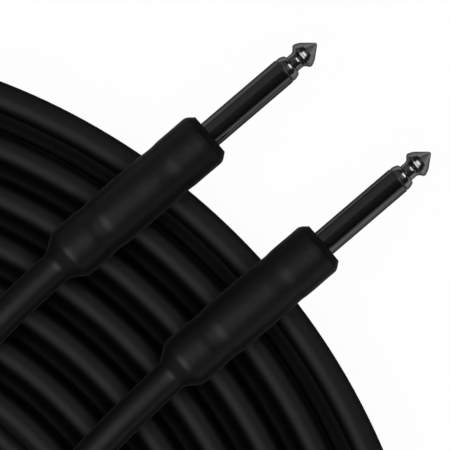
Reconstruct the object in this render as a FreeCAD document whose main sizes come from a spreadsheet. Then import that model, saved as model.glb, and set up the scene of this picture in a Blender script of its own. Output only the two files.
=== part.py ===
import FreeCAD, Part
import Sketcher
import math
import os

# An instrument cable: two straight two-pole 6.35 mm plugs, each soldered, clamped, closed by a
# screwed shell and sealed under heat-shrink, on a round cable wound flat in two layers.
# The origin is at the middle of the coil, on the surface that it lies on, and +Z is up.
# A plug's own X axis is its centre line, from its seat face at 0 out to the tip, so what
# lies behind the seat face has a negative x. Its sizes grow outward from the cable that it holds.
# Lengths are in millimetres and angles in degrees.

DRIVING_SIZES = [
    # The cable and its coil
    ("cable_diameter", 6.8),
    ("outer_turn_radius", 151.5),
    ("turn_pitch", 10.16),
    ("top_layer_turns", 7),
    ("layer_gap", 0.75),
    ("layer_inset", 1.0),
    ("rest_gap", 0.3),
    # The contacts that go into the jack
    ("shank_diameter", 6.35),
    ("shank_length", 31.75),
    ("nose_blunt_radius", 0.35),
    ("nose_flank_length", 3.75),
    ("crown_width", 1.15),
    ("crown_rise", 0.12),
    ("notch_slope_length", 1.0),
    ("notch_width", 0.6),
    ("notch_radius", 1.98),
    ("neck_length", 0.8),
    ("neck_rise", 0.26),
    ("shoulder_length", 0.75),
    ("shoulder_rise", 0.64),
    ("flare_length", 0.85),
    ("tip_edge_length", 0.7),
    ("tip_ring_inset", 0.16),
    ("tip_ring_thickness", 0.8),
    ("rod_radius", 1.2),
    ("insulator_wall", 0.5),
    ("press_gap", 0.03),
    # The clamp that grips the jacket, and the cover over it, from the cable outward
    ("clamp_gap", 0.05),
    ("clamp_wall", 0.8),
    ("liner_clearance", 0.35),
    ("liner_wall", 0.45),
    ("liner_gap", 0.05),
    ("shell_wall", 1.05),
    ("shrink_wall", 0.35),
    # What the plug is built on, from its seat face backward
    ("flange_thickness", 1.2),
    ("flange_rise", 0.2),
    ("barrel_length", 8.0),
    ("barrel_clearance", 0.2),
    ("ground_plate_thickness", 0.8),
    ("washer_thickness", 1.0),
    ("washer_clearance", 0.15),
    ("tip_plate_thickness", 0.6),
    ("tip_plate_inset", 0.3),
    ("tip_tab_length", 6.6),
    ("tip_tab_angle", 50.0),
    ("rivet_clearance", 0.5),
    ("rivet_head_thickness", 0.7),
    ("core_gap", 2.0),
    ("core_length", 8.0),
    ("clamp_margin", 0.5),
    ("clamp_length", 6.0),
    ("clamp_angle", 230.0),
    ("ground_strip_angle", 60.0),
    ("shell_rear_room", 5.8),
    ("liner_end_gap", 0.3),
    # The shell and the heat-shrink
    ("shell_front_edge", 0.3),
    ("shell_chamfer_length", 2.2),
    ("shell_cone_length", 4.8),
    ("shell_end_wall", 5.5),
    ("cable_exit_gap", 0.2),
    ("shrink_shoulder_length", 1.5),
    ("shrink_tail_length", 31.0),
    # The stripped end of the cable
    ("core_radius", 1.25),
    ("wire_radius", 0.45),
    ("tip_solder_radius", 0.9),
    ("tip_solder_depth", 0.65),
    ("braid_radius", 0.6),
    ("ground_solder_radius", 0.9),
    ("solder_length", 3.0),
    # Where the plugs lie: each seat face's centre, and the way that both tips point
    ("plug_a_seat_x", 102.96),
    ("plug_a_seat_y", 132.38),
    ("plug_b_seat_x", 128.66),
    ("plug_b_seat_y", 107.78),
    ("plug_heading", 40.5),
    ("straight_margin", 0.2),
]

# Flat faces stand for the round of the cable. The coil's section has a narrow top, two leaning
# flanks and a wide foot to lie on: its corners lie on one circle, at these angles from the top
COIL_CORNERS = (33, 135, 225, 327)
# The tails, and the heat-shrink that hugs them, have a regular section with this many faces
TAIL_FACES = 6
SHRINK_FACES = 12

# The free cable between the coil and each plug: points chosen by hand, each with its x, its y
# and its height over the lower layer's centre line. Tail a leaves the top layer, hops over
# tail b and comes down to the floor; tail b leaves the lower layer along the floor. Each goes
# straight on from the coil's end for a first run, to the first bend, before these points.
FIRST_RUN = 15.0
TAIL_A_POINTS = [
    (28.0, -88.0, 7.57),
    (1.0, -86.0, 7.84),
    (-23.0, -70.0, 11.34),
    (-36.0, -45.0, 14.34),
    (-35.0, -19.0, 14.34),
    (-22.0, 4.0, 6.84),
    (-5.0, 22.0, 0.44),
    (12.0, 37.5, 1.84),
    (25.0, 49.0, 7.34),
    (34.9, 63.2, 13.84),
]
TAIL_B_POINTS = [
    (-91.0, 31.0, 0.0),
    (-90.0, 5.0, 0.0),
    (-75.0, -19.0, 0.0),
    (-51.0, -35.0, 0.0),
    (-23.0, -38.0, 0.0),
    (3.0, -28.0, 0.0),
    (24.0, -10.0, 0.0),
    (42.0, 11.0, 4.84),
    (60.0, 36.0, 13.84),
]
# How much of the shorter of two runs the bend between them takes
BEND_SHARE = 0.45
HALF_ROOT = math.sqrt(0.5)

Vector = FreeCAD.Vector
document = FreeCAD.newDocument("instrument_cable")


class Size:
    """A length with its spreadsheet expression and its number, kept together through sums."""

    def __init__(self, words, number):
        self.words = words
        self.number = number

    def joined(self, sign, other, number):
        words = other.words if isinstance(other, Size) else repr(other)
        return Size("(%s %s %s)" % (self.words, sign, words), number)

    def __add__(self, other):
        return self.joined("+", other, self.number + number_of(other))

    def __sub__(self, other):
        return self.joined("-", other, self.number - number_of(other))

    def __mul__(self, other):
        return self.joined("*", other, self.number * number_of(other))

    def __truediv__(self, other):
        return self.joined("/", other, self.number / number_of(other))

    def __neg__(self):
        return Size("(0 - %s)" % self.words, -self.number)


def number_of(size):
    return size.number if isinstance(size, Size) else size


def words_of(size):
    return size.words if isinstance(size, Size) else repr(size)


def fill_sheet():
    """The spreadsheet of driving sizes, and each one ready for formulas under its own name."""
    sheet = document.addObject("Spreadsheet::Sheet", "sizes")
    named = {}
    for row, (alias, value) in enumerate(DRIVING_SIZES, start=1):
        cell = "A%d" % row
        sheet.set(cell, str(value))
        sheet.setAlias(cell, alias)
        named[alias] = Size("sizes." + alias, value)
    document.recompute()
    return named


def section_area(corners):
    """The area of a polygon with its corners on a circle of radius 1."""
    spans = [math.radians(after - before) for before, after in zip(corners, corners[1:])]
    spans.append(2 * math.pi - sum(spans))
    return sum(math.sin(span) for span in spans) / 2


def regular_corners(faces):
    """The corners' angles from the top, for a regular polygon that stands on a flat."""
    return [180 + (number + 0.5) * 360 / faces for number in range(faces)]


size = fill_sheet()


# Sizes that follow from the driving ones
cable_radius = size["cable_diameter"] / 2
# The faceted coil holds as much as the round cable, so its corners stand a little outside the
# jacket and its flats a little inside
coil_corner = cable_radius * math.sqrt(math.pi / section_area(COIL_CORNERS))
low_height = coil_corner * -math.cos(math.radians(COIL_CORNERS[1]))
top_height = low_height + size["cable_diameter"] + size["layer_gap"]
coil_top = top_height + coil_corner * math.cos(math.radians(COIL_CORNERS[0]))

press_gap = size["press_gap"]
shank_radius = size["shank_diameter"] / 2
# Outward from the cable: the clamp round it, the liner, the shell and the heat-shrink
clamp_bore = cable_radius + size["clamp_gap"]
clamp_radius = clamp_bore + size["clamp_wall"]
liner_bore = clamp_radius + size["liner_clearance"]
liner_radius = liner_bore + size["liner_wall"]
shell_bore = liner_radius + size["liner_gap"]
shell_radius = shell_bore + size["shell_wall"]
shrink_bore = shell_radius + press_gap
shrink_radius = shrink_bore + size["shrink_wall"]
exit_bore = cable_radius + size["cable_exit_gap"]
hug_bore = cable_radius + press_gap
barrel_radius = liner_bore - size["barrel_clearance"]
thread_bore = barrel_radius + press_gap
flange_radius = barrel_radius + size["flange_rise"]
flange_bore = flange_radius + press_gap
# Inward from the clamp's bore, round the centre rod: what carries the signal
washer_radius = clamp_bore - size["washer_clearance"]
tip_plate_radius = washer_radius - size["tip_plate_inset"]
tip_tab_bore = tip_plate_radius - size["tip_plate_thickness"]
rivet_head_radius = tip_tab_bore - size["rivet_clearance"]
rod_bore = size["rod_radius"] + press_gap
insulator_radius = rod_bore + size["insulator_wall"]
sleeve_bore = insulator_radius + press_gap
tip_edge_radius = shank_radius - size["tip_ring_inset"]
# Backward from the seat face: the depth at which each piece ends
barrel_end = size["barrel_length"]
ground_plate_end = barrel_end + size["ground_plate_thickness"]
washer_end = ground_plate_end + size["washer_thickness"]
tip_plate_end = washer_end + size["tip_plate_thickness"]
rivet_end = tip_plate_end + size["rivet_head_thickness"]
tip_tab_end = tip_plate_end + size["tip_tab_length"]
core_end = tip_tab_end + size["core_gap"]
core_start = core_end + size["core_length"]
jacket_end = core_start + press_gap
clamp_start = jacket_end + size["clamp_margin"]
clamp_end = clamp_start + size["clamp_length"]
shell_inner_end = clamp_end + size["shell_rear_room"]
shell_end = shell_inner_end + size["shell_end_wall"]
shell_shoulder = shell_end - size["shell_cone_length"]
shrink_shoulder_end = shell_end + size["shrink_shoulder_length"]
# The shell's cone runs inside the cone of the heat-shrink, which comes down to the cable
shell_cone_share = size["shell_cone_length"] / (size["shell_cone_length"] + size["shrink_shoulder_length"])
shell_rear_radius = shell_radius - (shrink_bore - hug_bore) * shell_cone_share
# The cable's last bend starts just behind the shoulder of the heat-shrink
last_bend = (shrink_shoulder_end + size["straight_margin"] - jacket_end * BEND_SHARE) / (1 - BEND_SHARE)
# Forward from the seat face: the contact outline, which the jack's springs know by place
crown_front = size["shank_length"] - size["nose_flank_length"]
crown_back = crown_front - size["crown_width"]
notch_front = crown_back - size["notch_slope_length"]
notch_back = notch_front - size["notch_width"]
neck_back = notch_back - size["neck_length"]
neck_radius = size["notch_radius"] + size["neck_rise"]
shoulder_back = neck_back - size["shoulder_length"]
shoulder_radius = neck_radius + size["shoulder_rise"]
tip_edge_front = shoulder_back - size["flare_length"]
tip_back = tip_edge_front - size["tip_edge_length"]
sleeve_front = tip_back - size["tip_ring_thickness"]
crown_edge_radius = shank_radius - size["crown_rise"]
half_crown = size["crown_width"] / 2
crown_round = (half_crown * half_crown / size["crown_rise"] + size["crown_rise"]) / 2
# The plug's centre line lies at this height, with its heat-shrink resting just clear of the coil
plug_height = coil_top + size["rest_gap"] + shrink_radius

PLUGS = {
    "a": (size["plug_a_seat_x"], size["plug_a_seat_y"]),
    "b": (size["plug_b_seat_x"], size["plug_b_seat_y"]),
}


def place_words(x, y, z, axis, angle):
    """The expression for a placement: a point, and a turn about one axis."""
    point = "vector(%s; %s; %s)" % (words_of(x), words_of(y), words_of(z))
    turn = "rotation(vector(%d; %d; %d); %s)" % (axis + (words_of(angle),))
    return "placement(%s; %s)" % (point, turn)


def seat_words(plug):
    x, y = PLUGS[plug]
    return place_words(x, y, plug_height, (0, 0, 1), size["plug_heading"])


def finish(piece, label, plug):
    """Labels a plug's piece and lays it along the plug's centre line."""
    piece.Label = label + "_" + plug
    piece.setExpression("Placement", seat_words(plug))
    sub_parts.append(piece)


def turned(label, plug, outline, rounds=()):
    """A lathe piece from its half outline, a list of (x, radius) points, anticlockwise.

    rounds gives an edge, by its first point's number, the radius that it bulges with."""
    rounds = dict(rounds)
    body = document.addObject("PartDesign::Body", label + "_" + plug)
    sketch = body.newObject("Sketcher::SketchObject", label + "_outline_" + plug)
    side_plane = [plane for plane in body.Origin.OriginFeatures if plane.Role == "XY_Plane"]
    sketch.AttachmentSupport = [(side_plane[0], "")]
    sketch.MapMode = "FlatFace"
    corners = [Vector(number_of(x), number_of(radius), 0) for x, radius in outline]
    count = len(outline)
    bound = []
    for edge, start in enumerate(corners):
        stop = corners[(edge + 1) % count]
        if edge in rounds:
            sketch.addGeometry(bulging_arc(start, stop, number_of(rounds[edge])), False)
            sketch.addConstraint(Sketcher.Constraint("Radius", edge, number_of(rounds[edge])))
            bound.append((sketch.ConstraintCount - 1, rounds[edge]))
        else:
            sketch.addGeometry(Part.LineSegment(start, stop), False)
    for edge, (x, radius) in enumerate(outline):
        sketch.addConstraint(Sketcher.Constraint("Coincident", edge, 2, (edge + 1) % count, 1))
        for direction, axis, place in (("DistanceX", -2, x), ("DistanceY", -1, radius)):
            if number_of(place) == 0:
                sketch.addConstraint(Sketcher.Constraint("PointOnObject", edge, 1, axis))
            else:
                at = number_of(place)
                sketch.addConstraint(Sketcher.Constraint(direction, -1, 1, edge, 1, at))
                bound.append((sketch.ConstraintCount - 1, place))
    for index, place in bound:
        sketch.setExpression("Constraints[%d]" % index, words_of(place))
    turn = body.newObject("PartDesign::Revolution", label + "_turn_" + plug)
    turn.Profile = sketch
    turn.ReferenceAxis = (sketch, ["H_Axis"])
    turn.Angle = 360
    finish(body, label, plug)


def bulging_arc(start, stop, radius):
    """The anticlockwise arc from start to stop, which bulges to the right of that line."""
    middle = (start + stop) * 0.5
    half = (stop - start).Length / 2
    sag = radius - math.sqrt(radius * radius - half * half)
    along = (stop - start).normalize()
    right = Vector(along.y, -along.x, 0)
    return Part.Arc(start, middle + right * sag, stop)


def rod(name, plug, radius, back, length, angle=360, middle=0, offset=0, tilt=90):
    """A round bar along the plug's X axis, its rear face at the depth back.

    With an angle it is a wedge about its own axis, whose middle points down at 0 and up at 180.
    With a tilt of less than 90 it rises toward the tip."""
    bar = document.addObject("Part::Cylinder", name + "_" + plug)
    bar.setExpression("Radius", words_of(radius))
    bar.setExpression("Height", words_of(length))
    bar.setExpression("Angle", words_of(angle))
    lay = place_words(-back, 0, offset, (0, 1, 0), tilt)
    roll = place_words(0, 0, 0, (0, 0, 1), -(angle / 2) + middle)
    bar.setExpression("Placement", lay + " * " + roll)
    return bar


def cut(name, plug, base, tool):
    piece = document.addObject("Part::Cut", name + "_" + plug)
    piece.Base = base
    piece.Tool = tool
    return piece


def common(name, plug, base, tool):
    piece = document.addObject("Part::Common", name + "_" + plug)
    piece.Base = base
    piece.Tool = tool
    return piece


def fused(name, plug, shapes):
    piece = document.addObject("Part::MultiFuse", name + "_" + plug)
    piece.Shapes = shapes
    return piece


def ring(name, plug, radius, bore, back, length, angle=360, middle=0):
    """A ring, or a wedge of one, round the plug's centre line."""
    outer = rod(name + "_outer", plug, radius, back, length, angle, middle)
    inner = rod(name + "_inner", plug, bore, back, length)
    return cut(name, plug, outer, inner)


def add_tip_contact(plug):
    """The tip: a blunt nose, the crown, the notch that the jack's spring drops into, and its rod.

    Behind the notch a short neck steps up over a shoulder to the tip's rear edge. The rod runs
    back through the whole stack and is riveted over the tip terminal."""
    outline = [
        (-rivet_end, 0),
        (size["shank_length"], 0),
        (size["shank_length"], size["nose_blunt_radius"]),
        (crown_front, crown_edge_radius),
        (crown_back, crown_edge_radius),
        (notch_front, size["notch_radius"]),
        (notch_back, size["notch_radius"]),
        (neck_back, neck_radius),
        (shoulder_back, shoulder_radius),
        (tip_edge_front, tip_edge_radius),
        (tip_back, tip_edge_radius),
        (tip_back, size["rod_radius"]),
        (-tip_plate_end, size["rod_radius"]),
        (-tip_plate_end, rivet_head_radius),
        (-rivet_end, rivet_head_radius),
    ]
    turned("tip_contact", plug, outline, [(3, crown_round)])


def add_tip_insulator(plug):
    """The black ring between tip and sleeve, in one with the tube that lines the sleeve."""
    outline = [
        (-ground_plate_end, rod_bore),
        (tip_back, rod_bore),
        (tip_back, tip_edge_radius),
        (sleeve_front, tip_edge_radius),
        (sleeve_front, insulator_radius),
        (-ground_plate_end, insulator_radius),
    ]
    turned("tip_insulator", plug, outline)


def add_sleeve_contact(plug):
    """The sleeve: the shank, the flange that the shell stops at, and the threaded barrel."""
    outline = [
        (-barrel_end, sleeve_bore),
        (sleeve_front, sleeve_bore),
        (sleeve_front, shank_radius),
        (0, shank_radius),
        (0, flange_radius),
        (-size["flange_thickness"], flange_radius),
        (-size["flange_thickness"], barrel_radius),
        (-barrel_end, barrel_radius),
    ]
    turned("sleeve_contact", plug, outline)


def add_ground_terminal(plug):
    """A plate against the barrel, a strip that the shield is soldered to, and the cable clamp."""
    plate = ring("ground_plate", plug, barrel_radius, sleeve_bore, ground_plate_end,
                 size["ground_plate_thickness"])
    strip = ring("ground_strip", plug, clamp_radius, clamp_bore, clamp_end,
                 clamp_end - ground_plate_end, size["ground_strip_angle"])
    clamp = ring("clamp", plug, clamp_radius, clamp_bore, clamp_end,
                 size["clamp_length"], size["clamp_angle"])
    finish(fused("ground_terminal", plug, [plate, strip, clamp]), "ground_terminal", plug)


def add_terminal_washer(plug):
    """The fibre washer that keeps the two terminals apart."""
    washer = ring("terminal_washer", plug, washer_radius, rod_bore, washer_end,
                  size["washer_thickness"])
    finish(washer, "terminal_washer", plug)


def add_tip_terminal(plug):
    """A plate under the rivet head, with the tab that the signal wire is soldered to."""
    plate = ring("tip_plate", plug, tip_plate_radius, rod_bore, tip_plate_end,
                 size["tip_plate_thickness"])
    tab = ring("tip_tab", plug, tip_plate_radius, tip_tab_bore, tip_tab_end,
               tip_tab_end - washer_end, size["tip_tab_angle"], 180)
    finish(fused("tip_terminal", plug, [plate, tab]), "tip_terminal", plug)


def add_shell(plug):
    """The screwed shell: a cup open at the flange, closed round the cable by a coned end."""
    outline = [
        (0, flange_bore),
        (0, flange_bore + size["shell_front_edge"]),
        (-size["shell_chamfer_length"], shell_radius),
        (-shell_shoulder, shell_radius),
        (-shell_end, shell_rear_radius),
        (-shell_end, exit_bore),
        (-shell_inner_end, exit_bore),
        (-shell_inner_end, shell_bore),
        (-barrel_end, shell_bore),
        (-barrel_end, thread_bore),
        (-size["flange_thickness"], thread_bore),
        (-size["flange_thickness"], flange_bore),
    ]
    turned("shell", plug, outline)


def add_shell_liner(plug):
    """The paper tube that keeps the terminals off the shell."""
    start = barrel_end + press_gap
    length = shell_inner_end - size["liner_end_gap"] - start
    liner = ring("shell_liner", plug, liner_radius, liner_bore, start + length, length)
    finish(liner, "shell_liner", plug)


def add_core_insulation(plug):
    """The cable's own inner insulation, bared between the jacket's end and the wire."""
    outline = [
        (-core_start, 0),
        (-core_end, 0),
        (-core_end, size["core_radius"]),
        (-core_start, size["core_radius"]),
    ]
    turned("core_insulation", plug, outline)


def add_signal_conductor(plug):
    """The bared wire, which rises from the core to the underside of the tab, and its solder."""
    height = tip_tab_bore - size["tip_solder_depth"]
    solder_end = tip_tab_end - (size["tip_tab_length"] - size["solder_length"]) / 2
    wire_start = core_end + size["wire_radius"]
    reach = wire_start - solder_end + size["solder_length"]
    tilt = Size("atan(%s / %s)" % (reach.words, height.words),
                math.degrees(math.atan(reach.number / height.number)))
    core = rod("signal_core", plug, size["core_radius"] * 2, core_start, size["core_length"])
    wire = rod("signal_wire", plug, size["wire_radius"], wire_start, reach, tilt=tilt)
    bared = cut("signal_bared", plug, wire, core)
    blob = rod("signal_blob", plug, size["tip_solder_radius"], solder_end, size["solder_length"],
               offset=height)
    under_tab = rod("signal_tab_room", plug, tip_tab_bore, solder_end, size["solder_length"])
    solder = common("signal_solder", plug, blob, under_tab)
    finish(fused("signal_conductor", plug, [bared, solder]), "signal_conductor", plug)


def add_shield_pigtail(plug):
    """The shield's strands, twisted together and soldered down on the ground strip."""
    depth = -(clamp_bore - size["braid_radius"])
    solder_front = core_end - size["solder_length"] / 2
    solder_back = solder_front + size["solder_length"]
    braid = rod("pigtail_braid", plug, size["braid_radius"], core_start,
                core_start - solder_front, offset=depth)
    blob = rod("pigtail_blob", plug, size["ground_solder_radius"], solder_back,
               size["solder_length"], offset=depth)
    room = rod("pigtail_room", plug, clamp_bore, core_start, core_start - solder_front)
    both = fused("pigtail_both", plug, [braid, blob])
    finish(common("shield_pigtail", plug, both, room), "shield_pigtail", plug)


def section(corners, radius, start, heading):
    """A closed polygon square to heading, with its corners at their angles from straight up."""
    up = Vector(0, 0, 1)
    side = heading.cross(up).normalize()
    points = []
    for angle in map(math.radians, corners):
        points.append(start + (up * math.cos(angle) + side * math.sin(angle)) * radius)
    return Part.makePolygon(points + [points[0]])


def swept(legs, corners, radius):
    """One unbroken faceted tube along the legs of a path, with its corners at this radius."""
    path = Part.Wire([leg.toShape() for leg in legs])
    first = legs[0]
    start = first.value(first.FirstParameter)
    heading = Vector(*first.tangent(first.FirstParameter)[0])
    outline = section(corners, radius, start, heading)
    tube = Part.Solid(Part.Shell(path.makePipeShell([outline], True, False).Faces))
    return tube, section_area(corners) * radius * radius * path.Length, path.Length


def through(start, middle, stop):
    return Part.Arc(start, middle, stop)


def coil_legs():
    """The coil's centre line: half turns, out along the lower layer and in along the top one.

    One half of every turn runs about the origin. The other half runs about a point half a
    pitch to one side, and so joins one turn to the next."""
    pitch = size["turn_pitch"].number
    turns = int(size["top_layer_turns"].number)
    low_turns = turns - 1
    outer = size["outer_turn_radius"].number
    low = Vector(0, 0, low_height.number)
    top = Vector(0, 0, top_height.number)
    join = math.radians(-45)
    along = Vector(math.cos(join), math.sin(join), 0)
    across = Vector(-math.sin(join), math.cos(join), 0)
    straight = size["cable_diameter"].number
    low_outer = outer - pitch / 2 - size["layer_inset"].number
    low_inner = low_outer - (low_turns - 1) * pitch
    place = low - along * low_inner
    legs = [Part.LineSegment(place - across * straight, place)]
    for turn in range(low_turns):
        radius = low_inner + turn * pitch
        stop = low + along * radius
        legs.append(through(place, low + across * radius, stop))
        place = stop
        if turn < low_turns - 1:
            middle = low - along * (pitch / 2)
            radius += pitch / 2
            stop = middle - along * radius
            legs.append(through(place, middle - across * radius, stop))
            place = stop
    reach = (low_outer + outer) / 2
    stop = place - (along + across) * reach
    halfway = place - (along * (1 - HALF_ROOT) + across * HALF_ROOT) * reach
    legs.append(through(place, halfway, stop))
    place = top - along * outer
    legs += climb_legs(stop, place, -along, across)
    for turn in range(turns):
        radius = outer - turn * pitch
        stop = top + along * radius
        legs.append(through(place, top + across * radius, stop))
        place = stop
        if turn < turns - 1:
            middle = top + along * (pitch / 2)
            radius -= pitch / 2
            stop = middle - along * radius
            legs.append(through(place, middle - across * radius, stop))
            place = stop
    legs.append(Part.LineSegment(place, place - across * straight))
    return legs


def climb_legs(start, stop, leaving, arriving):
    """The quarter turn that climbs a layer: two arcs that are level at its start and its end."""
    # Both bends of the path lie as far from their own end as from the point between them
    chord = stop - start
    spread = leaving + arriving
    half_square = chord.dot(chord)
    slope = chord.dot(spread)
    share = 4 - spread.dot(spread)
    bend = (math.sqrt(slope * slope + share * half_square) - slope) / share
    near = start + leaving * bend
    far = stop - arriving * bend
    middle = (near + far) * 0.5
    legs = []
    for first, corner, last in ((start, near, middle), (middle, far, stop)):
        chord_middle = (first + last) * 0.5
        half = (last - first).Length / 2
        half_turn = math.acos(half / (corner - first).Length)
        sag = half * math.tan(half_turn / 2)
        toward = (corner - chord_middle).normalize()
        legs.append(through(first, chord_middle + toward * sag, last))
    return legs


def tail_legs(points):
    """Straight runs joined by tangent arcs, each as large as its two runs allow."""
    legs = []
    radii = []
    place = points[0]
    for before, corner, after in zip(points, points[1:], points[2:]):
        into = corner - before
        out = after - corner
        trim = BEND_SHARE * min(into.Length, out.Length)
        half_turn = into.getAngle(out) / 2
        into.normalize()
        out.normalize()
        radius = trim / math.tan(half_turn)
        inward = (out - into).normalize()
        sag_point = corner + inward * (radius / math.cos(half_turn) - radius)
        legs.append(Part.LineSegment(place, corner - into * trim))
        legs.append(through(corner - into * trim, sag_point, corner + out * trim))
        place = corner + out * trim
        radii.append(radius)
    legs.append(Part.LineSegment(place, points[-1]))
    return legs, radii


def tail_points(plug):
    """The route from the end of the coil to the end of the jacket inside the plug."""
    legs = coil_legs()
    if plug == "a":
        inner, coil_end = legs[-1].StartPoint, legs[-1].EndPoint
        chosen = TAIL_A_POINTS
    else:
        inner, coil_end = legs[0].EndPoint, legs[0].StartPoint
        chosen = TAIL_B_POINTS
    first_bend = coil_end + (coil_end - inner).normalize() * FIRST_RUN
    middle = [Vector(x, y, low_height.number + height) for x, y, height in chosen]
    heading = math.radians(size["plug_heading"].number)
    forward = Vector(math.cos(heading), math.sin(heading), 0)
    x, y = PLUGS[plug]
    seat = Vector(x.number, y.number, plug_height.number)
    bend = seat - forward * last_bend.number
    last = seat - forward * jacket_end.number
    return [coil_end, first_bend] + middle + [bend, last]


def part_of_path(legs, start, length):
    """The legs between two distances along a path."""
    kept = []
    passed = 0.0
    for leg in legs:
        whole = leg.length()
        first = max(start - passed, 0.0)
        last = min(start + length - passed, whole)
        passed += whole
        if last - first > 0.01:
            span = (leg.LastParameter - leg.FirstParameter) / whole
            trimmed = leg.copy()
            trimmed.setParameterRange(leg.FirstParameter + first * span,
                                      leg.FirstParameter + last * span)
            kept.append(trimmed)
    return kept


def formed(label, shape):
    """A piece whose shape is made here from the sheet's sizes."""
    piece = document.addObject("Part::Feature", label)
    piece.Label = label
    piece.Shape = shape
    piece.Placement = FreeCAD.Placement()
    sub_parts.append(piece)


def add_coil():
    legs = coil_legs()
    tube, wanted, length = swept(legs, COIL_CORNERS, coil_corner.number)
    formed("cable_coil", tube)
    print("coil: length %.0f mm, volume %.0f of %.0f mm3" % (length, tube.Volume, wanted))
    print("coil: least gap to itself %.2f mm" % (least_gap(legs) - size["cable_diameter"].number))


def least_gap(legs):
    """The least distance between turns, centre line to centre line, measured on points.

    Points nearer than half a turn along the cable are its own neighbours and don't count."""
    step = 2.0
    points = []
    for leg in legs:
        count = max(int(leg.length() / step), 1)
        span = (leg.LastParameter - leg.FirstParameter) / count
        points += [leg.value(leg.FirstParameter + number * span) for number in range(count)]
    least = cell_width = 2 * size["cable_diameter"].number
    skip = int(size["outer_turn_radius"].number / step)
    cells = {}
    for number, point in enumerate(points):
        column = math.floor(point.x / cell_width)
        row = math.floor(point.y / cell_width)
        for near in [(column + i, row + j) for i in (-1, 0, 1) for j in (-1, 0, 1)]:
            for earlier in cells.get(near, ()):
                if number - earlier > skip:
                    least = min(least, (points[earlier] - point).Length)
        cells.setdefault((column, row), []).append(number)
    return least


def add_tail(plug):
    points = tail_points(plug)
    legs, radii = tail_legs(points)
    tube, wanted, length = swept(legs, regular_corners(TAIL_FACES), cable_radius.number)
    formed("cable_tail_" + plug, tube)
    print("tail %s: length %.1f mm, volume %.0f of %.0f mm3" % (plug, length, tube.Volume, wanted))
    print("tail %s: radii %s" % (plug, " ".join("%.0f" % radius for radius in radii)))


def add_heat_shrink(plug):
    """The sleeve shrunk over shell and cable: turned over the shell, then following the cable."""
    wall = size["shrink_wall"].number
    inside = [
        (0, (flange_bore + size["shell_front_edge"] + press_gap).number),
        (-size["shell_chamfer_length"].number, shrink_bore.number),
        (-shell_shoulder.number, shrink_bore.number),
        (-shrink_shoulder_end.number, hug_bore.number),
    ]
    outline = [Vector(x, radius, 0) for x, radius in inside]
    outline += [Vector(x, radius + wall, 0) for x, radius in reversed(inside)]
    face = Part.Face(Part.makePolygon(outline + [outline[0]]))
    over_shell = face.revolve(Vector(0, 0, 0), Vector(1, 0, 0), 360)
    x, y = PLUGS[plug]
    turn = FreeCAD.Rotation(Vector(0, 0, 1), size["plug_heading"].number)
    seat = Vector(x.number, y.number, plug_height.number)
    over_shell.Placement = FreeCAD.Placement(seat, turn)

    legs, radii = tail_legs(list(reversed(tail_points(plug))))
    start = (shrink_shoulder_end - jacket_end).number
    legs = part_of_path(legs, start, size["shrink_tail_length"].number)
    corner_of_flat = 1 / math.cos(math.pi / SHRINK_FACES)
    bore_flat = (hug_bore + press_gap).number
    corners = regular_corners(SHRINK_FACES)
    bore = swept(legs, corners, bore_flat * corner_of_flat)[0]
    outside = swept(legs, corners, (bore_flat + wall) * corner_of_flat)[0]
    formed("heat_shrink_" + plug, over_shell.fuse(outside.cut(bore)))


def check_and_write():
    """Stops at anything that failed, then writes each piece to its own file."""
    document.recompute()
    for thing in document.Objects:
        failed = {"Invalid", "Error"} & set(thing.State)
        if failed:
            raise RuntimeError("%s did not compute" % thing.Label)
    os.makedirs("parts", exist_ok=True)
    for piece in sub_parts:
        if piece.Shape.isNull() or not piece.Shape.isValid():
            raise RuntimeError("%s has no valid shape" % piece.Label)
    for piece in sub_parts:
        piece.Shape.exportStep(os.path.join("parts", piece.Label + ".step"))
    print("%d pieces written" % len(sub_parts))


sub_parts = []
for plug in PLUGS:
    add_tip_contact(plug)
    add_tip_insulator(plug)
    add_sleeve_contact(plug)
    add_ground_terminal(plug)
    add_terminal_washer(plug)
    add_tip_terminal(plug)
    add_shell(plug)
    add_shell_liner(plug)
    add_core_insulation(plug)
    add_signal_conductor(plug)
    add_shield_pigtail(plug)
    add_heat_shrink(plug)
    add_tail(plug)
add_coil()
check_and_write()
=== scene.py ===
import math
import bpy
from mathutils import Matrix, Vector, noise


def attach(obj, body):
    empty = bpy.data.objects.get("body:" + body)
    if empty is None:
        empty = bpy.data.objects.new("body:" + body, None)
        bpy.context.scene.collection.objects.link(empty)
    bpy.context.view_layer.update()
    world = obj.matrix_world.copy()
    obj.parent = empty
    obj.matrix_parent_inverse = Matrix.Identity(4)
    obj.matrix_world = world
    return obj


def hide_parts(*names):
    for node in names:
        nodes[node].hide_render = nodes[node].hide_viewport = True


# A coiled instrument cable with two plugs, seen from straight above. The pieces inside the plugs
# are the CAD's own. The cable is made again here as round cords along its route, the heat-shrink
# as a smooth sleeve over each plug and the cable behind it, and the contacts as finer turned
# pieces. Sizes are in millimetres, and MM turns them into Blender's metres.

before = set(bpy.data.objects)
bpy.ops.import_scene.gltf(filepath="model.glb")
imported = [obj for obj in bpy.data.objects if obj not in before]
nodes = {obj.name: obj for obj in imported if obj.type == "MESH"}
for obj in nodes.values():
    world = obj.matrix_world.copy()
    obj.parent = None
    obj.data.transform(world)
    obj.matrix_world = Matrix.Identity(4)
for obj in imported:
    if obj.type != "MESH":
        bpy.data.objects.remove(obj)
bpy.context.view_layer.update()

MM = 0.001
UP = Vector((0, 0, 1))

# The photograph's view: straight down on this point, 4.43 pixels to a millimetre at the plugs
PHOTO_PIXELS = 450
PIXELS_PER_MM = 4.43
VIEW_X = 106.34
VIEW_Y = 111.96
CAMERA_HEIGHT = 1600.0
SENSOR_WIDTH = 36.0
CLIP_START = 100.0
CLIP_END = 20000.0

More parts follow.
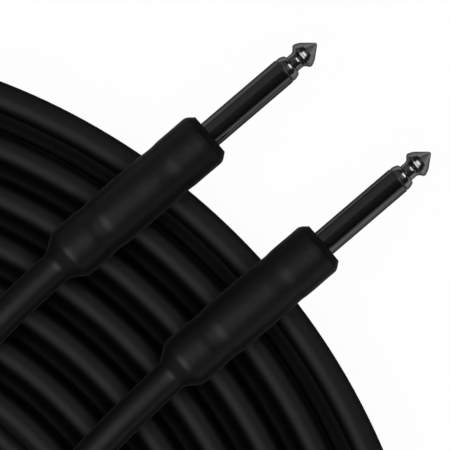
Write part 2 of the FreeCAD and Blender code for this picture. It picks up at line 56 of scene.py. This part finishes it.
# The plugs: the azimuth that both tips point to, each seat face's centre, and the contacts' slots
AHEAD = 40.5
HEADING = math.radians(AHEAD)
FORWARD = Vector((math.cos(HEADING), math.sin(HEADING), 0))
PLUG_HEIGHT = 21.0773
SEATS = {
    "a": Vector((102.96, 132.38, PLUG_HEIGHT)),
    "b": Vector((128.66, 107.78, PLUG_HEIGHT)),
}
CONTACT_SLOTS = {"tip_contact": "nickel", "sleeve_contact": "nickel", "tip_insulator": "insulator"}

# The cable: how far behind the seat face its jacket ends and its last bend lies, and how far
# each tail first runs straight on from the coil
CABLE_RADIUS = 3.4
SHIELD_RADIUS = 1.75
JACKET_END = 27.03
LAST_BEND = 70.0
FIRST_RUN = 15.0
STEPS_PER_POINT = 12
CABLE_ROUNDNESS = 8
SHIELD_ROUNDNESS = 2

# The coil's route. The coil is one cord: seven turns outward along the floor, a climb in the
# half turn where the spiral reverses, and seven turns inward on top. The innermost turn on the
# floor shows in the photograph's lower left corner, and is one more than the CAD's coil has.
JOIN = math.radians(-45)
ALONG = Vector((math.cos(JOIN), math.sin(JOIN), 0))
ACROSS = Vector((-math.sin(JOIN), math.cos(JOIN), 0))
OUTER_TURN = 151.5
PITCH = 10.16
TOP_TURNS = 7
LOW_TURNS = 7
LAYER_INSET = 1.0
LOW_OUTER = OUTER_TURN - PITCH / 2 - LAYER_INSET
LOW_INNER = LOW_OUTER - (LOW_TURNS - 1) * PITCH
# The top turns inside the outermost one lie a touch tighter
TIGHTER = 0.45
TOP_INNER = OUTER_TURN - (TOP_TURNS - 1) * PITCH - TIGHTER
LOW_HEIGHT = 3.4
TOP_HEIGHT = 10.95
# Each end of the coil runs straight on by this much before its tail begins
END_RUN = 2 * CABLE_RADIUS
POINTS_PER_TURN = 24
# The cord's line runs inside its points by this factor, at that many points a turn
LINE_SHARE = 1 - (math.pi / POINTS_PER_TURN) ** 2 / 2

# The free cable from the coil to each plug, in listed points. Tail b starts further in
# than the CAD's, clear of the coil's innermost turn.
TAIL_POINTS = {
    "a": [
        (28.0, -88.0, 10.95), (1.0, -86.0, 11.2), (-23.0, -70.0, 14.7), (-36.0, -45.0, 17.7),
        (-35.0, -19.0, 17.7), (-22.0, 4.0, 10.2), (-5.0, 22.0, 3.8), (12.0, 37.5, 5.2),
        (25.0, 49.0, 10.7), (34.9, 63.2, 17.2),
    ],
    "b": [
        (-83.0, 26.0, 3.4), (-80.5, 2.0, 3.4), (-68.0, -19.0, 3.4), (-47.0, -32.5, 3.4),
        (-22.0, -36.0, 3.4), (3.0, -28.0, 3.4), (24.0, -10.0, 3.4), (42.0, 11.0, 8.2),
        (60.0, 36.0, 17.2),
    ],
}

# The heat-shrink's outside: depths behind the seat face and radii. It dips a little where the
# shell under it is grooved, and closes on the cable behind the shell's cone.
SHRINK_PROFILE = [
    (0.0, 5.15), (0.15, 5.25), (0.68, 5.71), (1.13, 6.07), (1.6, 6.37), (1.9, 6.5), (2.4, 6.57),
    (2.9, 6.585), (4.2, 6.555), (9.8, 6.56), (10.5, 6.53), (11.5, 6.43), (12.4, 6.4),
    (13.2, 6.43), (15.0, 6.54), (15.8, 6.57), (29.6, 6.57), (30.2, 6.53), (31.3, 6.34),
    (31.9, 6.31), (33.3, 6.31), (34.0, 6.34), (34.9, 6.49), (35.3, 6.51), (38.6, 6.47),
    (40.6, 6.46), (41.4, 6.39), (42.0, 6.17), (44.6, 4.32), (45.2, 3.99), (45.9, 3.84),
    (47.5, 3.81), (77.33, 3.81),
]
SHRINK_END = 77.33
SHRINK_WALL = 0.35
SHRINK_SIDES = 72
# Its rings lie close together at the front corner: a depth, and the step between rings up to it
RING_STEPS = [(3.2, 0.14), (50.0, 0.4), (SHRINK_END, 0.9)]
INNER_STRIDE = 3
# It rounds its corners over this much of its length: tightly as far as the front corner goes
FRONT_CORNER = 2.6
TIGHT_ROUNDING = 0.2
WIDE_ROUNDING = 0.5
ROUNDING_GROWTH = 0.1
ROUNDING_STEPS = 6
ROUNDING_FALL = 0.85
# Inside, it lies close round the shell as far back as this
SHELL_BACK = 39.5
SHELL_RADIUS = 6.16
SHELL_GAP = 0.02
# From this depth on, its middle goes over from the plug's axis to the cord
CORD_FROM = 40.0
CORD_BLEND = 8.0
AIM_STEP = 0.1
# Its rear edge: how far it stands back, and how far each of its two rings steps inward
REAR_EDGE = 0.04
REAR_STEP = 0.12
# The film isn't quite even: each wave's frequency and height, and where they have set in
WAVES = [(0.22, 0.035), (0.9, 0.008)]
WAVES_FROM = 3.0

# The contacts: points forward of the seat face, their radii, and how far each corner is rounded
TIP_OUTLINE = [
    (-11.1, 0.0, 0.0), (-11.1, 1.9, 0.2), (-10.4, 1.9, 0.1), (-10.4, 1.2, 0.0),
    (22.4, 1.2, 0.0), (22.4, 3.08, 0.04), (22.85, 3.07, 0.6), (23.5, 2.91, 0.5),
    (23.95, 2.72, 0.4), (24.2, 2.55, 0.3), (24.42, 2.03, 0.06),
    (26.15, 2.0, 1.3), (26.95, 2.97, 0.35), (27.1, 3.12, 0.2), (27.6, 3.2, 0.25),
    (28.2, 2.95, 0.4), (28.9, 2.59, 0.8), (30.7, 1.07, 0.8),
    (31.3, 0.55, 0.45), (31.62, 0.26, 0.3), (31.66, 0.0, 0.0),
]
INSULATOR_OUTLINE = [
    (-8.8, 1.23, 0.0), (-8.8, 1.73, 0.0), (21.95, 1.73, 0.0), (21.95, 3.06, 0.04),
    (22.39, 3.06, 0.04), (22.39, 1.23, 0.0),
]
SLEEVE_OUTLINE = [
    (-8.0, 1.76, 0.0), (-8.0, 4.4, 0.15), (-1.2, 4.4, 0.0), (-1.2, 4.6, 0.0), (0.0, 4.6, 0.1),
    (0.0, 3.175, 0.0), (21.94, 3.175, 0.08), (21.94, 1.76, 0.0),
]
CONTACT_SIDES = 96
CORNER_STEPS = 5
# A corner's rounding takes up this share of its shorter run at most
CORNER_SHARE = 0.45
# A run longer than this has a loop this far from each end, which keeps its shading flat
LONG_RUN = 0.3
EDGE_LOOP = 0.03
# A point with a smaller radius than this counts as on the axis
ON_AXIS = 0.001

# Shine fades to a share of itself as a surface turns from facing the eye, at 0, to edge on, at 1
FADED_SHARE = 0.1
FADE_START = 0.12
FADE_END = 0.46
# On the film's front it drops to a share, a painted shade, between two cosines of the angle to
# straight ahead
FRONT_SHARE = 0.3
FRONT_START = 0.2
FRONT_END = 0.5
# How far the roughness of metal and of other surfaces varies to each side, as a share of it
METAL_SPREAD = 0.3
PLAIN_SPREAD = 0.15
# The metal is darker where it is seen edge on
METAL_EDGE = (0.3, 0.3, 0.3, 1.0)

# The floor. Under the coil its white is left out in a ring, a painted shade with a soft edge,
# and close to the part the floor's reflection is the matt paper without its white, a painted
# shade in reflections. Further off it turns to white.
WHITE = (1.0, 1.0, 1.0, 1.0)
PAPER = (0.9, 0.9, 0.9, 1.0)
PAPER_WHITE = 0.97
FLOOR_HALF = 4000.0
FLOOR_DROP = 0.05
SHADE_MIDDLE = 122.0
SHADE_HALF = 30.0
SHADE_EDGE = 4.0
NEAR_PAPER = 230.0
FAR_PAPER = 320.0

# Azimuths round the plugs, and tilts away from straight up
UPPER_LEFT = AHEAD + 90
BEHIND = AHEAD + 180
LOWER_RIGHT = AHEAD + 270
LEVEL = 90
# The sky's patches of light: a point's azimuth and tilt, the cosines of the angle to it between
# which the light changes, and the light's level at each
HORIZON_BAND = (0, 0, 0.17, 0.22, 1.0, 0.0)
BAND_STRENGTH = (LOWER_RIGHT, LEVEL, -0.5, 0.3, 0.15, 0.6)
BRIGHT_WALL = (LOWER_RIGHT, LEVEL, 0.88, 0.905, 0.0, 0.5)
SOFT_GLOW = (UPPER_LEFT, 47, 0.745, 0.95, 0.035, 0.25)
FRONT_GLOW = (AHEAD, 24, 0.93, 0.985, 0.0, 0.4)
# The lamps: azimuth, tilt, width, length and power in watts
LAMP_DISTANCE = 2000.0
LAMPS = {
    "softbox": (BEHIND, 30, 2000.0, 1500.0, 36.0),
    "strip": (AHEAD, 46, 1300.0, 260.0, 7.0),
}


def placed(name, data):
    """A new object in the scene that shows this data."""
    made = bpy.data.objects.new(name, data)
    bpy.context.scene.collection.objects.link(made)
    return made


def smooth_piece(name, places, faces):
    """A smoothly shaded mesh from corners in millimetres."""
    mesh = bpy.data.meshes.new(name)
    mesh.from_pydata([place * MM for place in places], [], faces)
    mesh.update()
    for polygon in mesh.polygons:
        polygon.use_smooth = True
    return placed(name, mesh)


def smooth_step(share):
    share = max(0.0, min(1.0, share))
    return share * share * (3 - 2 * share)


def spoke(side, up, number, count):
    """The way out from the middle of a ring to one of its corners."""
    angle = 2 * math.pi * number / count
    return side * math.cos(angle) + up * math.sin(angle)


def direction(azimuth, tilt):
    """The way to a point of the sky."""
    azimuth, tilt = math.radians(azimuth), math.radians(tilt)
    return Vector((
        math.sin(tilt) * math.cos(azimuth), math.sin(tilt) * math.sin(azimuth), math.cos(tilt),
    ))


def place_camera():
    camera = placed("camera", bpy.data.cameras.new("camera"))
    camera.location = (VIEW_X * MM, VIEW_Y * MM, CAMERA_HEIGHT * MM)
    camera.data.sensor_width = SENSOR_WIDTH
    seen_width = PHOTO_PIXELS / PIXELS_PER_MM
    camera.data.lens = SENSOR_WIDTH * (CAMERA_HEIGHT - PLUG_HEIGHT) / seen_width
    camera.data.clip_start = CLIP_START * MM
    camera.data.clip_end = CLIP_END * MM
    bpy.context.scene.camera = camera


# The cable

def turn_point(turn, first_radius, growth, height):
    """A point of the spiral, at a number of turns from where its layer starts.

    Each turn's first half runs about the middle of the coil, and its second half about a
    point half a pitch to one side."""
    whole = math.floor(turn)
    share = turn - whole
    radius = first_radius + growth * whole
    if growth < 0:
        radius -= TIGHTER * smooth_step(turn)
    middle = Vector((0, 0, 0))
    if share > 0.5:
        middle = -ALONG * (growth / 2)
        radius += growth / 2
    angle = math.pi - 2 * math.pi * share
    out = ALONG * math.cos(angle) + ACROSS * math.sin(angle)
    return middle + out * (radius / LINE_SHARE) + UP * height


def layer_points(turns, first_radius, growth, height):
    """A layer's points. The half turn after its last whole one is left to what follows."""
    count = POINTS_PER_TURN * turns - POINTS_PER_TURN // 2
    places = [(step + 0.5) / POINTS_PER_TURN for step in range(count)]
    return [turn_point(turn, first_radius, growth, height) for turn in places]


def climb_points():
    """The half turn between the layers: a quarter on the floor, and a quarter that climbs."""
    radius = (LOW_OUTER + OUTER_TURN) / 2
    centre = ALONG * (LOW_OUTER - radius)
    count = POINTS_PER_TURN // 2
    points = []
    for step in range(count):
        share = (step + 0.5) / count
        out = ALONG * math.cos(math.pi * share) - ACROSS * math.sin(math.pi * share)
        height = LOW_HEIGHT + (TOP_HEIGHT - LOW_HEIGHT) * smooth_step(share * 2 - 1)
        points.append(centre + out * (radius / LINE_SHARE) + UP * height)
    return points


def coil_points():
    start = UP * LOW_HEIGHT - ALONG * LOW_INNER
    stop = UP * TOP_HEIGHT + ALONG * TOP_INNER
    points = [start - ACROSS * END_RUN]
    points += layer_points(LOW_TURNS, LOW_INNER, PITCH, LOW_HEIGHT)
    points += climb_points()
    points += layer_points(TOP_TURNS, OUTER_TURN, -PITCH, TOP_HEIGHT)
    points.append(stop - ACROSS * END_RUN)
    return points


def tail_points(plug, start):
    seat = SEATS[plug]
    points = [start, start - ACROSS * FIRST_RUN]
    points += [Vector(point) for point in TAIL_POINTS[plug]]
    points.append(seat - FORWARD * LAST_BEND)
    points.append(seat - FORWARD * JACKET_END)
    return points


def cord_curve(name, points, radius, roundness):
    """A round cord whose smooth line is drawn by these points."""
    curve = bpy.data.curves.new(name, "CURVE")
    curve.dimensions = "3D"
    spline = curve.splines.new("NURBS")
    spline.points.add(len(points) - 1)
    for point, place in zip(spline.points, points):
        point.co = (place.x * MM, place.y * MM, place.z * MM, 1.0)
    spline.use_smooth = True
    spline.order_u = 3
    spline.use_endpoint_u = True
    spline.resolution_u = STEPS_PER_POINT
    curve.bevel_depth = radius * MM
    curve.bevel_resolution = roundness
    curve.use_fill_caps = True
    return placed(name, curve)


def line_of(cord):
    """The points along a cord's own smooth line, in millimetres."""
    plain = cord.data.copy()
    plain.bevel_depth = 0.0
    probe = bpy.data.objects.new("probe", plain)
    mesh = bpy.data.meshes.new_from_object(probe)
    places = [vertex.co / MM for vertex in mesh.vertices]
    bpy.data.objects.remove(probe)
    bpy.data.curves.remove(plain)
    bpy.data.meshes.remove(mesh)
    return places


# The heat-shrink

def profile_radius(depth):
    for (before, first), (after, second) in zip(SHRINK_PROFILE, SHRINK_PROFILE[1:]):
        if depth <= after:
            return first + (second - first) * (depth - before) / (after - before)
    return SHRINK_PROFILE[-1][1]


def rounded_radius(depth):
    """The profile with its corners rounded: tightly at the front, softly further back."""
    spread = min(TIGHT_ROUNDING + max(depth - FRONT_CORNER, 0.0) * ROUNDING_GROWTH, WIDE_ROUNDING)
    total = 0.0
    weights = 0.0
    for step in range(-ROUNDING_STEPS, ROUNDING_STEPS + 1):
        offset = step / ROUNDING_STEPS
        near = depth + offset * spread
        if 0.0 <= near <= SHRINK_END:
            weight = 1 - abs(offset) * ROUNDING_FALL
            total += profile_radius(near) * weight
            weights += weight
    return total / weights


class Centre:
    """The sleeve's centre line: the plug's axis over the shell, then the cord's own line."""

    def __init__(self, plug, line):
        self.seat = SEATS[plug]
        self.line = list(reversed(line))
        self.passed = [JACKET_END]
        for before, after in zip(self.line, self.line[1:]):
            self.passed.append(self.passed[-1] + (after - before).length)

    def at(self, depth):
        on_axis = self.seat - FORWARD * depth
        share = smooth_step((depth - CORD_FROM) / CORD_BLEND)
        if share == 0.0:
            return on_axis
        index = 0
        while self.passed[index + 1] < depth:
            index += 1
        span = self.passed[index + 1] - self.passed[index]
        on_cord = self.line[index].lerp(self.line[index + 1], (depth - self.passed[index]) / span)
        return on_axis.lerp(on_cord, share)

    def frame_at(self, depth):
        ahead = (self.at(depth - AIM_STEP) - self.at(depth + AIM_STEP)).normalized()
        side = ahead.cross(UP).normalized()
        return self.at(depth), side, side.cross(ahead)


def sleeve_rings():
    """The sleeve's rings in order: outside, rear edge and inside. Each is a depth, a radius,
    and whether it lies outside."""
    depths = [0.0]
    for reach, step in RING_STEPS:
        while depths[-1] < reach:
            depths.append(min(depths[-1] + step, SHRINK_END))
    rings = [(depth, rounded_radius(depth), True) for depth in depths]
    for _ in range(2):
        rings.append((SHRINK_END + REAR_EDGE, rings[-1][1] - REAR_STEP, False))
    for depth in reversed(depths[::INNER_STRIDE]):
        inside = rounded_radius(depth) - SHRINK_WALL
        if FRONT_CORNER < depth < SHELL_BACK:
            inside = SHELL_RADIUS + SHELL_GAP
        rings.append((depth, inside, False))
    return rings


def sleeve_mesh(plug, line):
    """The heat-shrink as one closed skin."""
    centre = Centre(plug, line)
    rings = sleeve_rings()
    places = []
    for depth, radius, outside in rings:
        middle, side, up = centre.frame_at(depth)
        for number in range(SHRINK_SIDES):
            out = spoke(side, up, number, SHRINK_SIDES)
            place = middle + out * radius
            if outside:
                wave = sum(noise.noise(place * often) * height for often, height in WAVES)
                place += out * wave * smooth_step(depth / WAVES_FROM)
            places.append(place)
    faces = []
    count = len(rings)
    for ring in range(count):
        after = (ring + 1) % count
        for number in range(SHRINK_SIDES):
            beside = (number + 1) % SHRINK_SIDES
            faces.append((
                ring * SHRINK_SIDES + number, ring * SHRINK_SIDES + beside,
                after * SHRINK_SIDES + beside, after * SHRINK_SIDES + number,
            ))
    return smooth_piece("shrink_sleeve_" + plug, places, faces)


# The contacts

def rounded_outline(outline):
    """The outline with its corners rounded, and a loop close to each end of a long run."""
    places = []
    count = len(outline)
    for number, (x, radius, rounding) in enumerate(outline):
        corner = Vector((x, radius))
        if rounding == 0:
            places.append(corner)
            continue
        before = Vector(outline[number - 1][:2]) - corner
        after = Vector(outline[(number + 1) % count][:2]) - corner
        trim = min(
            rounding / math.tan(before.angle(after) / 2),
            CORNER_SHARE * before.length, CORNER_SHARE * after.length,
        )
        start = corner + before.normalized() * trim
        stop = corner + after.normalized() * trim
        for step in range(CORNER_STEPS + 1):
            share = step / CORNER_STEPS
            low = start.lerp(corner, share)
            places.append(low.lerp(corner.lerp(stop, share), share))
    looped = []
    for number, place in enumerate(places):
        run = places[(number + 1) % len(places)] - place
        looped.append(place)
        if run.length > LONG_RUN:
            looped.append(place + run.normalized() * EDGE_LOOP)
            looped.append(place + run - run.normalized() * EDGE_LOOP)
    return looped


def lathe(name, plug, outline):
    """A turned piece about a plug's axis. Points on the axis close it with a fan."""
    side = FORWARD.cross(UP)
    places, faces, rings = [], [], []
    for x, radius in rounded_outline(outline):
        middle = SEATS[plug] + FORWARD * x
        first = len(places)
        if radius < ON_AXIS:
            places.append(middle)
            rings.append([first] * CONTACT_SIDES)
            continue
        for number in range(CONTACT_SIDES):
            places.append(middle + spoke(side, UP, number, CONTACT_SIDES) * radius)
        rings.append(list(range(first, first + CONTACT_SIDES)))
    for ring, after in zip(rings, rings[1:] + rings[:1]):
        for number in range(CONTACT_SIDES):
            beside = (number + 1) % CONTACT_SIDES
            corners = [ring[number], after[number], after[beside], ring[beside]]
            corners = list(dict.fromkeys(corners))
            if len(corners) > 2:
                faces.append(corners)
    return smooth_piece(name + "_" + plug, places, faces)


# The materials

class Nodes:
    """The nodes of a material or the world. Most methods add a node and return its output."""

    def __init__(self, owner):
        owner.use_nodes = True
        self.tree = owner.node_tree
        self.tree.nodes.clear()

    def fill(self, node, inputs):
        """Sets each input to its value, or links it to the output that is its value."""
        for key, value in inputs.items():
            if isinstance(value, bpy.types.NodeSocket):
                self.tree.links.new(value, node.inputs[key])
            else:
                node.inputs[key].default_value = value

    def add(self, kind, inputs=None, **settings):
        made = self.tree.nodes.new(kind)
        for key, value in settings.items():
            setattr(made, key, value)
        self.fill(made, inputs or {})
        return made

    def compute(self, operation, *values, **settings):
        inputs = dict(enumerate(values))
        return self.add("ShaderNodeMath", inputs, operation=operation, **settings).outputs["Value"]

    def measure(self, operation, *vectors):
        inputs = dict(enumerate(vectors))
        return self.add("ShaderNodeVectorMath", inputs, operation=operation).outputs["Value"]

    def ranged(self, value, low, high, first=0.0, last=1.0, **settings):
        """A level that goes from low to high as the value goes from first to last."""
        inputs = {
            "Value": value, "From Min": first, "From Max": last, "To Min": low, "To Max": high,
        }
        return self.add("ShaderNodeMapRange", inputs, **settings).outputs["Result"]


class Shading(Nodes):
    """A material with one principled shader, whose textures lie in the object's own place."""

    def __init__(self, name):
        self.material = bpy.data.materials.new(name)
        super().__init__(self.material)
        self.surface = self.add("ShaderNodeBsdfPrincipled")
        self.add("ShaderNodeOutputMaterial", {"Surface": self.surface.outputs["BSDF"]})
        self.place = self.add("ShaderNodeTexCoord").outputs["Object"]

    def paint(self, inputs):
        self.fill(self.surface, inputs)

    def noise(self, scale, detail=3.0, roughness=0.5, place=None):
        inputs = {
            "Vector": place or self.place, "Scale": scale, "Detail": detail,
            "Roughness": roughness,
        }
        return self.add("ShaderNodeTexNoise", inputs).outputs["Fac"]

    def mixed(self, share, first, second):
        """A colour between two others. The colour inputs are numbers 6 and 7."""
        inputs = {"Factor": share, 6: first + (1.0,), 7: second + (1.0,)}
        return self.add("ShaderNodeMix", inputs, data_type="RGBA").outputs[2]

    def bump(self, height, depth, under=None):
        """Relief from a height of 0 to 1, depth millimetres deep, on top of another relief."""
        inputs = {"Strength": 1.0, "Distance": depth * MM, "Height": height}
        if under is not None:
            inputs["Normal"] = under
        return self.add("ShaderNodeBump", inputs).outputs["Normal"]

    def gloss(self, level):
        """A specular level that fades where the surface turns away."""
        facing = self.add("ShaderNodeLayerWeight").outputs["Facing"]
        return self.ranged(facing, level, level * FADED_SHARE, FADE_START, FADE_END)

    def shine_with_painted_front_shade(self, level):
        """The level, lower on faces that look the way the plugs point: a painted shade."""
        normal = self.add("ShaderNodeNewGeometry").outputs["Normal"]
        ahead = self.measure("DOT_PRODUCT", normal, tuple(FORWARD))
        share = self.ranged(ahead, 1.0, FRONT_SHARE, FRONT_START, FRONT_END)
        return self.compute("MULTIPLY", level, share)

    def along_plug(self, scale):
        """The distance along the plugs' axis, times a scale, as a texture position."""
        distance = self.measure("DOT_PRODUCT", self.place, tuple(FORWARD * scale))
        return self.add("ShaderNodeCombineXYZ", {"X": distance}).outputs["Vector"]


# An export keeps a specular level only where it is the socket's own number, so that is set
# before the link that varies it
def jacket_material():
    look = Shading("jacket_vinyl")
    shine = 0.215
    look.paint({
        "Base Color": look.mixed(
            look.noise(260.0), (0.0014, 0.0014, 0.0016), (0.0024, 0.0024, 0.0028)),
        "Roughness": look.ranged(look.noise(900.0), 0.55, 0.63),
        "Normal": look.bump(look.noise(5200.0, detail=2.0), 0.008),
        "Specular IOR Level": shine,
    })
    look.paint({"Specular IOR Level": look.gloss(shine)})
    return look.material


def shrink_material():
    """A film whose shine is lowered on faces that look the way the plugs point, a painted shade on
    its front.
    """
    look = Shading("heat_shrink_film")
    shine = 0.205
    fine = look.bump(look.noise(4200.0, detail=2.0), 0.014)
    look.paint({
        "Base Color": look.mixed(
            look.noise(340.0), (0.0022, 0.0022, 0.0024), (0.0037, 0.0037, 0.0039)),
        "Roughness": look.ranged(look.noise(700.0), 0.39, 0.47),
        "Normal": look.bump(look.noise(620.0, detail=2.0), 0.05, under=fine),
        "Specular IOR Level": shine,
        "Sheen Weight": 0.032,
        "Sheen Roughness": 0.45,
    })
    # Painted shade: the shine is lower on faces that look ahead
    look.paint({"Specular IOR Level": look.shine_with_painted_front_shade(look.gloss(shine))})
    return look.material


def metal_material(name, dark, light, rough, marks, relief):
    """Turned metal, with fine rings round the plug's axis."""
    look = Shading(name)
    rings = look.noise(1.0, detail=4.0, roughness=0.7, place=look.along_plug(marks))
    low, high = rough * (1 - METAL_SPREAD), rough * (1 + METAL_SPREAD)
    look.paint({
        "Base Color": look.mixed(look.noise(420.0), dark, light),
        "Roughness": look.ranged(rings, low, high),
        "Normal": look.bump(rings, relief),
        "Metallic": 1.0,
        "Specular Tint": METAL_EDGE,
    })
    return look.material


def plain_material(name, first, second, rough, grain, relief, metallic=0.0, specular=0.5):
    """A dull or moulded surface with some variation in its colour and a fine relief."""
    look = Shading(name)
    low, high = rough * (1 - PLAIN_SPREAD), rough * (1 + PLAIN_SPREAD)
    look.paint({
        "Base Color": look.mixed(look.noise(grain), first, second),
        "Roughness": look.ranged(look.noise(grain * 2), low, high),
        "Normal": look.bump(look.noise(grain * 6, detail=2.0), relief),
        "Metallic": metallic,
        "Specular IOR Level": specular,
    })
    return look.material


def tinned_brass(name, rough, grain):
    return plain_material(
        name, (0.55, 0.53, 0.48), (0.66, 0.64, 0.58), rough, grain, relief=0.01, metallic=1.0)


def dress(piece, material):
    if piece.material_slots:
        for slot in piece.material_slots:
            slot.material = material
    else:
        piece.data.materials.append(material)


# The stage and its light

def make_stage():
    half = FLOOR_HALF * MM
    corners = [(-half, -half, 0), (half, -half, 0), (half, half, 0), (-half, half, 0)]
    mesh = bpy.data.meshes.new("floor")
    mesh.from_pydata(corners, [], [(0, 1, 2, 3)])
    floor = placed("floor", mesh)
    floor.location.z = -FLOOR_DROP * MM
    mesh.materials.append(floor_material())


def floor_material():
    """Matt paper that is white to the camera and to reflections, except for a painted shade in a
    ring under the coil, and in reflections close to the part.
    """
    material = bpy.data.materials.new("floor_paper")
    look = Nodes(material)
    rays = look.add("ShaderNodeLightPath").outputs
    place = look.add("ShaderNodeTexCoord").outputs["Object"]
    distance = look.measure("LENGTH", place)
    # Painted shade in reflections: close to the part, reflections see the matt paper, not the
    # white
    far = look.ranged(distance, 0.0, 1.0, NEAR_PAPER * MM, FAR_PAPER * MM)
    mirrored = look.compute("MULTIPLY", rays["Is Glossy Ray"], far)
    seen = look.compute("ADD", rays["Is Camera Ray"], mirrored)
    seen = look.compute("ADD", seen, rays["Is Transmission Ray"])
    # Painted shade: in a ring under the coil the floor's white is left out, and only the matt
    # paper shows
    off_ring = look.compute("ABSOLUTE", look.compute("SUBTRACT", distance, SHADE_MIDDLE * MM))
    white_outside_painted_shade = look.ranged(
        off_ring, 0.0, PAPER_WHITE, (SHADE_HALF - SHADE_EDGE) * MM, SHADE_HALF * MM)
    share = look.compute("MULTIPLY", seen, white_outside_painted_shade, use_clamp=True)
    matt = look.add("ShaderNodeBsdfDiffuse", {"Color": PAPER}).outputs["BSDF"]
    white = look.add("ShaderNodeEmission", {"Color": WHITE}).outputs["Emission"]
    mix = look.add("ShaderNodeMixShader", {0: share, 1: matt, 2: white}).outputs["Shader"]
    look.add("ShaderNodeOutputMaterial", {"Surface": mix})
    return material


def make_world():
    """A dark studio. A pale band lies along the horizon, strongest on the lower right, where a
    bright wall stands. There is a soft glow on the upper left and a small one ahead."""
    world = bpy.data.worlds.new("studio")
    bpy.context.scene.world = world
    sky = Nodes(world)
    place = sky.add("ShaderNodeTexCoord").outputs["Generated"]

    def patch(azimuth, tilt, first, last, low, high):
        nearness = sky.measure("DOT_PRODUCT", place, direction(azimuth, tilt))
        return sky.ranged(nearness, low, high, first, last, interpolation_type="SMOOTHSTEP")

    level = sky.compute("MULTIPLY", patch(*HORIZON_BAND), patch(*BAND_STRENGTH))
    for light in (BRIGHT_WALL, SOFT_GLOW, FRONT_GLOW):
        level = sky.compute("ADD", level, patch(*light))
    # Past the floor's edge the camera sees white
    camera_ray = sky.add("ShaderNodeLightPath").outputs["Is Camera Ray"]
    level = sky.compute("MAXIMUM", level, camera_ray)
    glow = sky.add("ShaderNodeBackground", {"Color": WHITE, "Strength": level})
    sky.add("ShaderNodeOutputWorld", {"Surface": glow.outputs["Background"]})


def make_lamp(name, azimuth, tilt, width, length, power):
    """A softbox that looks at the middle of the view."""
    lamp = placed(name, bpy.data.lights.new(name, "AREA"))
    toward = direction(azimuth, tilt)
    lamp.location = Vector((VIEW_X * MM, VIEW_Y * MM, 0)) + toward * (LAMP_DISTANCE * MM)
    lamp.rotation_euler = toward.to_track_quat("Z", "Y").to_euler()
    lamp.data.shape = "RECTANGLE"
    lamp.data.size = width * MM
    lamp.data.size_y = length * MM
    lamp.data.energy = power


place_camera()
coil_line = coil_points()
coil = cord_curve("coil", coil_line, CABLE_RADIUS, CABLE_ROUNDNESS)
tail_lines = {
    "a": tail_points("a", coil_line[-1]),
    "b": tail_points("b", coil_line[0]),
}
tails = {
    plug: cord_curve("tail_" + plug, tail_lines[plug], CABLE_RADIUS, CABLE_ROUNDNESS)
    for plug in "ab"
}
# Inside the jacket the shield runs from plug to plug
whole_line = list(reversed(tail_lines["b"])) + coil_line[1:-1] + tail_lines["a"]
shield = cord_curve("shield", whole_line, SHIELD_RADIUS, SHIELD_ROUNDNESS)
sleeves = {plug: sleeve_mesh(plug, line_of(tails[plug])) for plug in "ab"}
outlines = {
    "tip_contact": TIP_OUTLINE,
    "tip_insulator": INSULATOR_OUTLINE,
    "sleeve_contact": SLEEVE_OUTLINE,
}
contacts = {
    plug: {name: lathe("turned_" + name, plug, outline) for name, outline in outlines.items()}
    for plug in "ab"
}

jacket = jacket_material()
film = shrink_material()
turned_looks = {
    "tip_contact": metal_material(
        "dark_nickel_tip", (0.15, 0.15, 0.153), (0.17, 0.17, 0.173),
        rough=0.18, marks=9000.0, relief=0.002),
    "sleeve_contact": metal_material(
        "dark_nickel", (0.08, 0.08, 0.082), (0.095, 0.095, 0.098),
        rough=0.15, marks=9000.0, relief=0.0015),
    "tip_insulator": plain_material(
        "insulator_grey", (0.012, 0.012, 0.013), (0.02, 0.02, 0.021),
        rough=0.4, grain=600.0, relief=0.01, specular=0.3),
}
looks = {
    "ground_terminal": tinned_brass("tinned_brass", rough=0.35, grain=500.0),
    "tip_terminal": tinned_brass("tinned_brass_tab", rough=0.3, grain=520.0),
    "terminal_washer": plain_material(
        "red_fibre", (0.26, 0.07, 0.035), (0.36, 0.11, 0.06),
        rough=0.7, grain=700.0, relief=0.02),
    "shell": metal_material(
        "satin_nickel", (0.42, 0.41, 0.4), (0.5, 0.49, 0.47),
        rough=0.35, marks=5000.0, relief=0.004),
    "shell_liner": plain_material(
        "waxed_paper", (0.55, 0.47, 0.33), (0.66, 0.58, 0.43),
        rough=0.6, grain=400.0, relief=0.03),
    "core_insulation": plain_material(
        "natural_core", (0.7, 0.7, 0.66), (0.78, 0.78, 0.74),
        rough=0.4, grain=300.0, relief=0.01),
    "signal_conductor": plain_material(
        "tinned_copper", (0.7, 0.42, 0.28), (0.72, 0.62, 0.52),
        rough=0.35, grain=900.0, relief=0.03, metallic=1.0),
    "shield_pigtail": plain_material(
        "copper_strands", (0.62, 0.33, 0.2), (0.74, 0.46, 0.3),
        rough=0.4, grain=1500.0, relief=0.05, metallic=1.0),
}
braid = plain_material(
    "shield_braid", (0.55, 0.3, 0.18), (0.7, 0.42, 0.28),
    rough=0.4, grain=1500.0, relief=0.06, metallic=1.0)

dress(coil, jacket)
dress(shield, braid)
for plug in "ab":
    dress(tails[plug], jacket)
    dress(sleeves[plug], film)
    for name, material in looks.items():
        dress(nodes[name + "_" + plug], material)
    for name, material in turned_looks.items():
        dress(contacts[plug][name], material)

for piece in [coil, shield] + list(tails.values()) + list(sleeves.values()):
    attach(piece, "root")
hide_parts("cable_coil")
low_end, top_end = coil_line[0] * MM, coil_line[-1] * MM
for plug, coil_end, length in (("a", top_end, 0.328), ("b", low_end, 0.318)):
    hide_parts("cable_tail_" + plug)
    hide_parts("heat_shrink_" + plug)
    with_pieces = [sleeves[plug]] + [nodes[name + "_" + plug] for name in looks]
    for name, slot in CONTACT_SLOTS.items():
        piece = contacts[plug][name]
        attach(piece, "root")
        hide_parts(name + "_" + plug)
        with_pieces.append(piece)

make_stage()
make_world()
for name, lamp in LAMPS.items():
    make_lamp(name, *lamp)
bpy.context.scene.view_settings.view_transform = "Standard"
